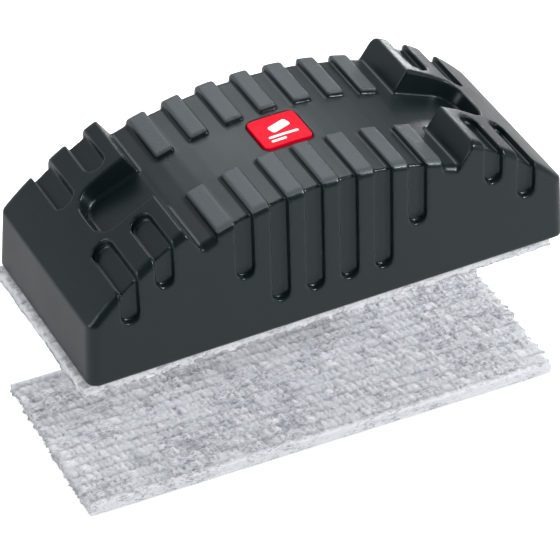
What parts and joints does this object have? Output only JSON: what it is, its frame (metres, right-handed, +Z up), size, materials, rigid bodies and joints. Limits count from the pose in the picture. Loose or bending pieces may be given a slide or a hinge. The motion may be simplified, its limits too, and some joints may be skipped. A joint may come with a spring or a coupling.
{
  "type": "whiteboard eraser",
  "caption": "Arched, ribbed plastic grip that holds a grey fleece wiping pad on hook tape, shown raised above a matching spare pad.",
  "frame": {"origin": "under the middle of the whole arrangement, on the surface that the spare pad lies on", "axes": "+X along the eraser's length, +Y across it towards its back, +Z up through the top of the arch"},
  "size_m": [0.151, 0.064, 0.096],
  "materials": {
    "grip": "black moulded plastic, satin with a fine grain",
    "badge": "bright red, smooth",
    "base": "black moulded plastic, satin",
    "hook_tape": "black woven hook tape",
    "screw": "zinc plated",
    "fleece": "light grey stitch-bonded fleece with darker flecks"
  },
  "bodies": {
    "spare": {"spare_pad": "fleece"},
    "holder": {"grip_shell": "grip", "badge": "badge", "base_plate": "base", "hook_strip_left": "hook_tape", "hook_strip_middle": "hook_tape", "hook_strip_right": "hook_tape", "base_screw_front_left": "screw", "base_screw_front_right": "screw", "base_screw_back_left": "screw", "base_screw_back_right": "screw"},
    "fitted_pad": {"wiping_pad": "fleece"}
  },
  "joints": [
    {"name": "holder_lift", "type": "slide", "parent": "spare", "child": "holder", "axis": [0, 0, 1], "range_m": [-0.02, 0.04]},
    {"name": "pad_release", "type": "slide", "parent": "holder", "child": "fitted_pad", "axis": [0, 0, -1], "range_m": [0, 0.016]}
  ]
}
